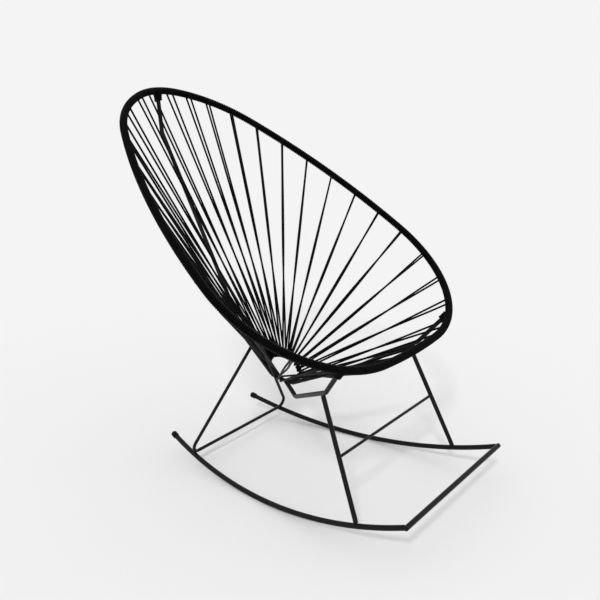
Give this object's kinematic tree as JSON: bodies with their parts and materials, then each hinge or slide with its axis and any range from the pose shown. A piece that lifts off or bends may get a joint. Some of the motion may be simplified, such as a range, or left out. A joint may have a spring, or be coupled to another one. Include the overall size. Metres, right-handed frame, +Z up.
{
  "type": "rocking chair",
  "caption": "Rocking chair with an egg-shaped wound rim, a basket of cords strung to a small centre ring, bent-bar struts and legs, and arc rockers joined by a front bar.",
  "frame": {"origin": "on the floor, at the middle of the chair's footprint box", "axes": "+Z up, +X to the sitter's left, and the sitter faces -Y"},
  "size_m": [0.7886, 0.9355, 0.9423],
  "materials": {
    "steel_black": "black powder coat, satin",
    "cord_black": "round black vinyl cord, soft sheen",
    "cap_black": "moulded black rubber"
  },
  "bodies": {
    "root": {"rim_hoop": "steel_black", "centre_ring": "steel_black", "back_strut": "steel_black", "front_bar": "steel_black", "leg_stretcher": "steel_black", "rear_frame": "steel_black", "side_strut_left": "steel_black", "side_strut_right": "steel_black", "rocker_left": "steel_black", "rocker_right": "steel_black", "front_leg_left": "steel_black", "front_leg_right": "steel_black", "strut_lashing_back": "cord_black", "cord_front_middle": "cord_black", "strut_lashing_left": "cord_black", "strut_lashing_right": "cord_black", "rim_wrap_back_left": "cord_black", "rim_wrap_back_right": "cord_black", "rim_wrap_side_left": "cord_black", "rim_wrap_side_right": "cord_black", "rim_wrap_front_left": "cord_black", "rim_wrap_front_right": "cord_black", "cord_01_left": "cord_black", "cord_01_right": "cord_black", "cord_02_left": "cord_black", "cord_02_right": "cord_black", "cord_03_left": "cord_black", "cord_03_right": "cord_black", "cord_04_left": "cord_black", "cord_04_right": "cord_black", "cord_05_left": "cord_black", "cord_05_right": "cord_black", "cord_06_left": "cord_black", "cord_06_right": "cord_black", "cord_07_left": "cord_black", "cord_07_right": "cord_black", "cord_08_left": "cord_black", "cord_08_right": "cord_black", "cord_09_left": "cord_black", "cord_09_right": "cord_black", "cord_10_left": "cord_black", "cord_10_right": "cord_black", "cord_11_left": "cord_black", "cord_11_right": "cord_black", "cord_12_left": "cord_black", "cord_12_right": "cord_black", "cord_13_left": "cord_black", "cord_13_right": "cord_black", "cord_14_left": "cord_black", "cord_14_right": "cord_black", "cord_15_left": "cord_black", "cord_15_right": "cord_black", "cord_16_left": "cord_black", "cord_16_right": "cord_black", "rocker_cap_left": "cap_black", "rocker_cap_right": "cap_black"}
  },
  "joints": []
}
